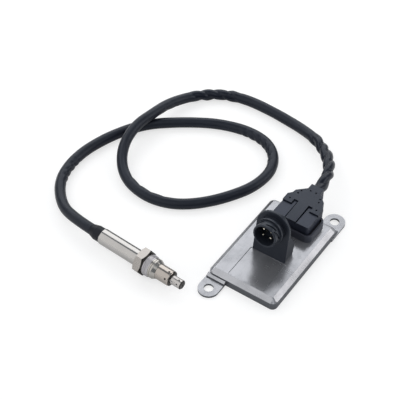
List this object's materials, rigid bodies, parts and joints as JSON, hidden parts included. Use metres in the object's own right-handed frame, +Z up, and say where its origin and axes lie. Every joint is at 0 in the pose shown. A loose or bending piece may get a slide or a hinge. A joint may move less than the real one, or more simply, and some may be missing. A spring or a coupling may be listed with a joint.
{
  "type": "exhaust nitrogen oxide sensor",
  "caption": "Exhaust gas sensor: flat cast control box with a bayonet socket tower and a flat harness plug, joined by a looped cable to a threaded steel probe.",
  "frame": {"origin": "centre of the control box's underside", "axes": "+X across the control box, +Y along it towards the side where the cable leaves, +Z up from the underside"},
  "size_m": [0.2562, 0.2503, 0.0592],
  "materials": {
    "cast_aluminium": "cast and tumbled, slightly scuffed",
    "sheet_aluminium": "rolled sheet",
    "sealant": "cured bead",
    "board": "glass-fibre board with green mask",
    "steel_screw": "zinc plated",
    "chip_plastic": "moulded package",
    "capacitor_can": "drawn can",
    "ferrite": "pressed ferrite block",
    "crystal_can": "pressed can",
    "tower_plastic": "glass-filled moulding, fine satin",
    "seal_rubber": "soft silicone",
    "contact_metal": "tin plated",
    "header_plastic": "glass-filled moulding",
    "plug_plastic": "satin moulding",
    "cover_plastic": "satin moulding",
    "cable_sleeve": "soft sleeve with tape at the plug",
    "grommet_rubber": "heat resistant",
    "lead_insulation": "thin insulation",
    "sleeve_steel": "drawn tube, softly brushed",
    "nut_steel": "turned and milled",
    "body_steel": "turned",
    "shield_steel": "drawn, warm heat tint",
    "tip_steel": "drawn, darker heat tint",
    "ceramic": "white technical ceramic",
    "element_ceramic": "layered ceramic strip",
    "talc": "pressed powder"
  },
  "bodies": {
    "sensor": {"housing": "cast_aluminium", "bottom_sheet": "sheet_aluminium", "housing_seal": "sealant", "circuit_board": "board", "board_screws": "steel_screw", "processor_chip": "chip_plastic", "driver_chip": "chip_plastic", "clock_crystal": "crystal_can", "filter_capacitors": "capacitor_can", "power_choke": "ferrite", "socket_pin_1": "contact_metal", "socket_pin_2": "contact_metal", "socket_pin_3": "contact_metal", "socket_pin_4": "contact_metal", "connector_tower": "tower_plastic", "tower_seal": "seal_rubber", "plug_header": "header_plastic", "header_seal": "seal_rubber", "header_pins": "contact_metal", "plug_body": "plug_plastic", "plug_cover": "cover_plastic", "plug_contacts": "contact_metal", "plug_seal": "seal_rubber", "cable": "cable_sleeve", "rear_sleeve": "sleeve_steel", "cable_grommet": "grommet_rubber", "lead_wires": "lead_insulation", "contact_housing": "ceramic", "holder_ring": "body_steel", "contact_springs": "contact_metal", "sensing_element": "element_ceramic", "rear_ceramic": "ceramic", "talc_seal": "talc", "front_ceramic": "ceramic", "sensor_body": "body_steel", "outer_shield": "shield_steel", "inner_shield": "tip_steel"},
    "nut": {"union_nut": "nut_steel"}
  },
  "joints": [
    {"name": "nut_turn", "type": "hinge", "parent": "sensor", "child": "nut", "pos_m": [-0.0813, -0.07803, 0.011], "axis": [0.9979, -0.0645, 0], "continuous": true}
  ]
}
